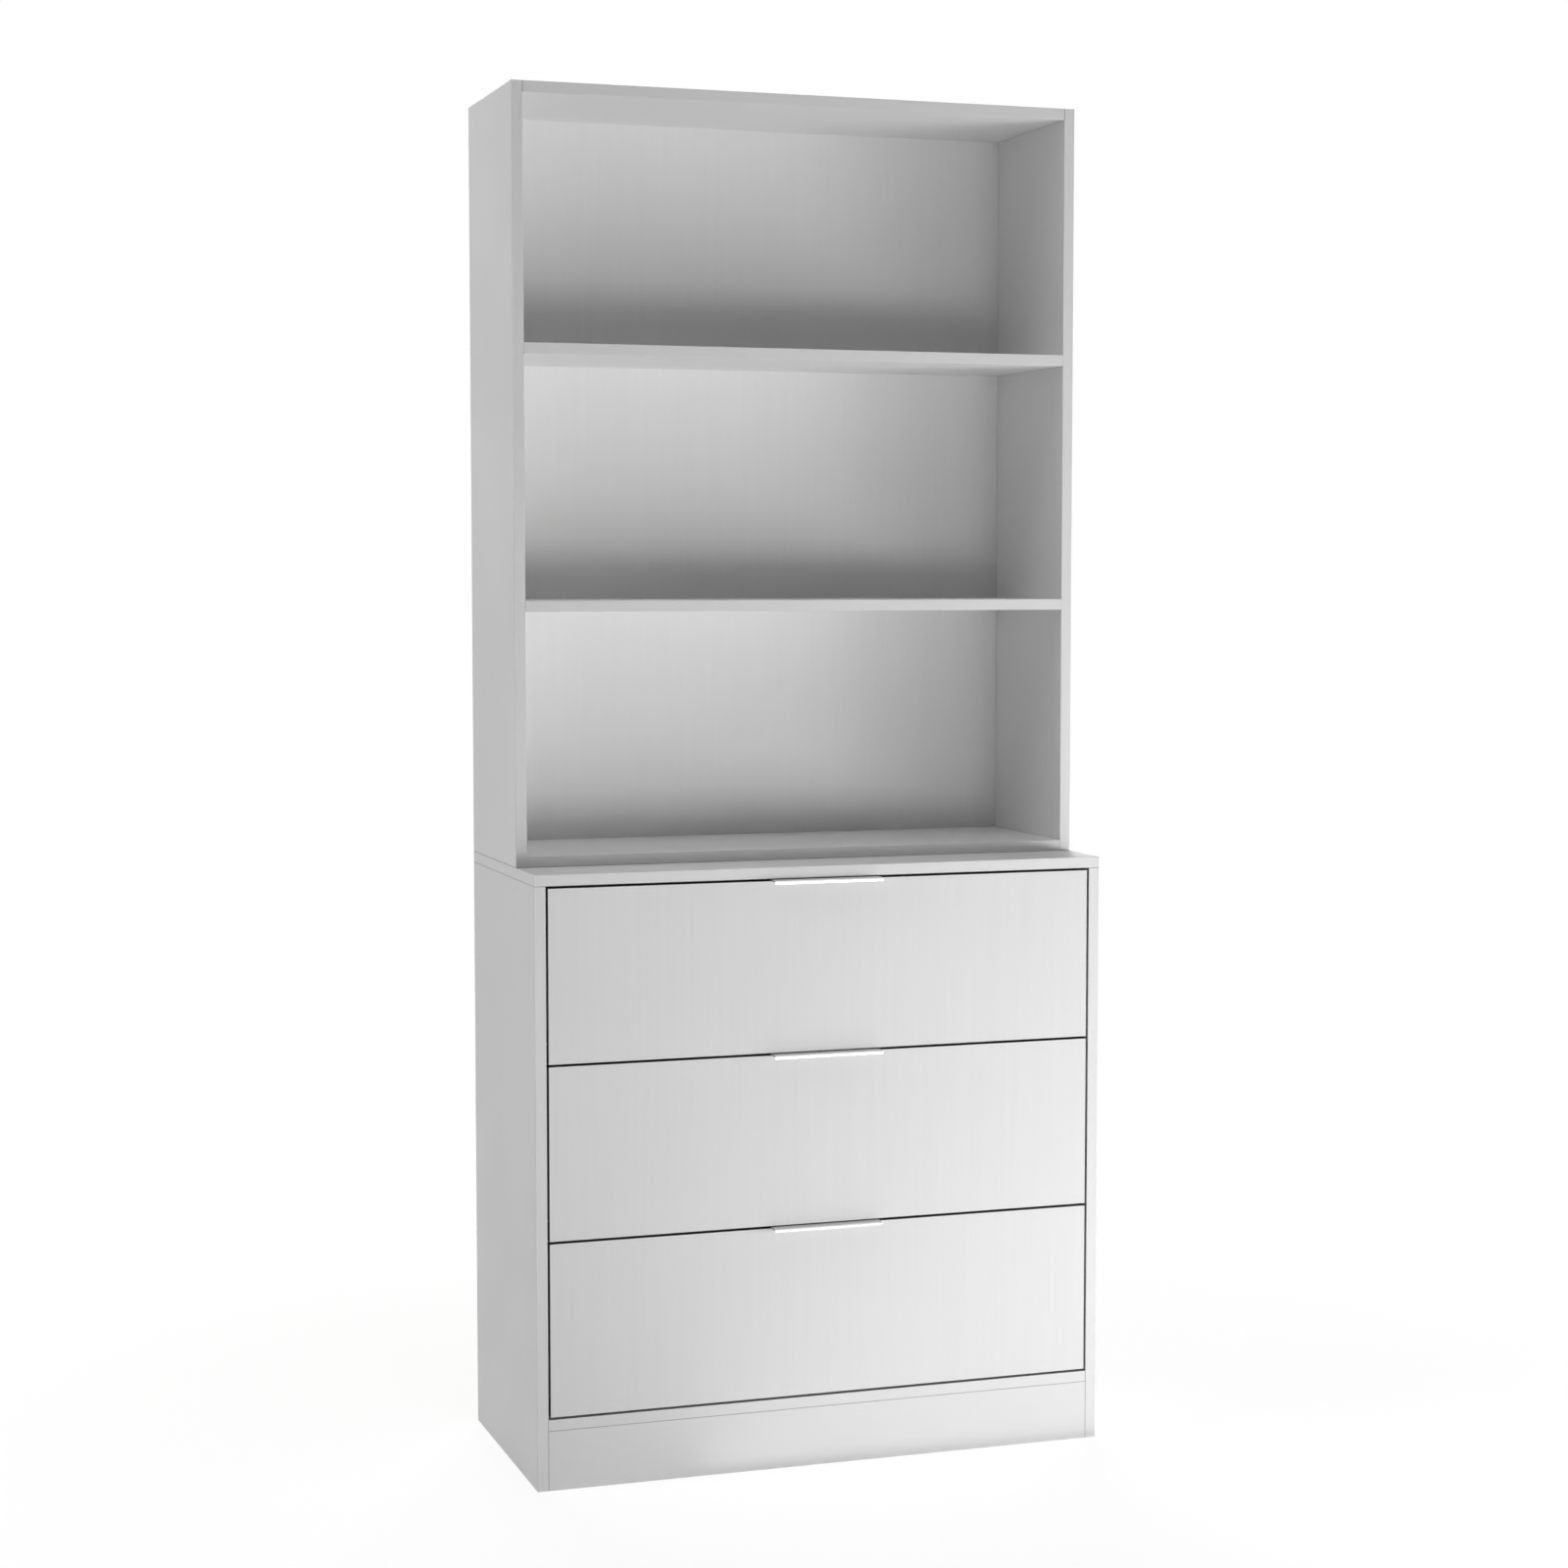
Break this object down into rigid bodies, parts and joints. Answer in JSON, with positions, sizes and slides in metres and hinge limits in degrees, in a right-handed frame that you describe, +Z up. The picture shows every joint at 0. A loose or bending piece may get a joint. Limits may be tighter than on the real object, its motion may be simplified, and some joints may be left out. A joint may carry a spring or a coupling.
{
  "type": "bookcase with drawers",
  "caption": "Tall white bookcase: an open hutch with shelves on a deeper chest of flush-front drawers with slim metal edge pulls.",
  "frame": {"origin": "on the floor under the centre of the whole object's box, handle lips included", "axes": "+Z up; the front, with the drawers and handles, looks towards -Y and the rear edges lie in the plane at the largest Y; +X is to the right for someone facing the front"},
  "size_m": [0.8, 0.372, 1.847],
  "materials": {
    "white_melamine": "matt white melamine on chipboard, faint upright grain",
    "drawer_melamine": "plain white foil on thin board",
    "white_hardboard": "white lacquered hardboard",
    "satin_aluminium": "satin anodised, brushed along its length",
    "zinc_steel": "bright zinc-plated sheet steel",
    "cage_steel": "thin cage strip with polished balls, lightly greased",
    "black_plastic": "soft moulded plastic"
  },
  "bodies": {
    "cabinet": {"chest_side_left": "white_melamine", "chest_side_right": "white_melamine", "chest_top": "white_melamine", "chest_bottom": "white_melamine", "chest_plinth_front": "white_melamine", "chest_plinth_rear": "white_melamine", "chest_back": "white_hardboard", "hutch_side_left": "white_melamine", "hutch_side_right": "white_melamine", "hutch_top": "white_melamine", "hutch_bottom": "white_melamine", "hutch_shelf_lower": "white_melamine", "hutch_shelf_upper": "white_melamine", "hutch_back": "white_hardboard", "hutch_bracket_left": "zinc_steel", "hutch_bracket_right": "zinc_steel", "cabinet_rail_1_left": "zinc_steel", "cabinet_rail_1_right": "zinc_steel", "cabinet_rail_2_left": "zinc_steel", "cabinet_rail_2_right": "zinc_steel", "cabinet_rail_3_left": "zinc_steel", "cabinet_rail_3_right": "zinc_steel", "rail_bumper_1_left": "black_plastic", "rail_bumper_1_right": "black_plastic", "rail_bumper_2_left": "black_plastic", "rail_bumper_2_right": "black_plastic", "rail_bumper_3_left": "black_plastic", "rail_bumper_3_right": "black_plastic"},
    "drawer_1": {"drawer_1_front": "white_melamine", "drawer_1_handle": "satin_aluminium", "drawer_1_side_left": "drawer_melamine", "drawer_1_side_right": "drawer_melamine", "drawer_1_back": "drawer_melamine", "drawer_1_bottom": "white_hardboard", "drawer_1_rail_left": "zinc_steel", "drawer_1_rail_right": "zinc_steel"},
    "drawer_2": {"drawer_2_front": "white_melamine", "drawer_2_handle": "satin_aluminium", "drawer_2_side_left": "drawer_melamine", "drawer_2_side_right": "drawer_melamine", "drawer_2_back": "drawer_melamine", "drawer_2_bottom": "white_hardboard", "drawer_2_rail_left": "zinc_steel", "drawer_2_rail_right": "zinc_steel"},
    "drawer_3": {"drawer_3_front": "white_melamine", "drawer_3_handle": "satin_aluminium", "drawer_3_side_left": "drawer_melamine", "drawer_3_side_right": "drawer_melamine", "drawer_3_back": "drawer_melamine", "drawer_3_bottom": "white_hardboard", "drawer_3_rail_left": "zinc_steel", "drawer_3_rail_right": "zinc_steel"},
    "ball_cages_1": {"ball_cage_1_left": "cage_steel", "ball_cage_1_right": "cage_steel"},
    "ball_cages_2": {"ball_cage_2_left": "cage_steel", "ball_cage_2_right": "cage_steel"},
    "ball_cages_3": {"ball_cage_3_left": "cage_steel", "ball_cage_3_right": "cage_steel"}
  },
  "joints": [
    {"name": "drawer_1_slide", "type": "slide", "parent": "cabinet", "child": "drawer_1", "axis": [0, -1, 0], "range_m": [0, 0.21]},
    {"name": "drawer_2_slide", "type": "slide", "parent": "cabinet", "child": "drawer_2", "axis": [0, -1, 0], "range_m": [0, 0.21]},
    {"name": "drawer_3_slide", "type": "slide", "parent": "cabinet", "child": "drawer_3", "axis": [0, -1, 0], "range_m": [0, 0.21]},
    {"name": "ball_cages_1_slide", "type": "slide", "parent": "cabinet", "child": "ball_cages_1", "axis": [0, -1, 0], "range_m": [0, 0.105]},
    {"name": "ball_cages_2_slide", "type": "slide", "parent": "cabinet", "child": "ball_cages_2", "axis": [0, -1, 0], "range_m": [0, 0.105]},
    {"name": "ball_cages_3_slide", "type": "slide", "parent": "cabinet", "child": "ball_cages_3", "axis": [0, -1, 0], "range_m": [0, 0.105]}
  ],
  "couplings": [
    {"joint": "ball_cages_1_slide", "follows": "drawer_1_slide", "ratio": 0.5},
    {"joint": "ball_cages_2_slide", "follows": "drawer_2_slide", "ratio": 0.5},
    {"joint": "ball_cages_3_slide", "follows": "drawer_3_slide", "ratio": 0.5}
  ]
}
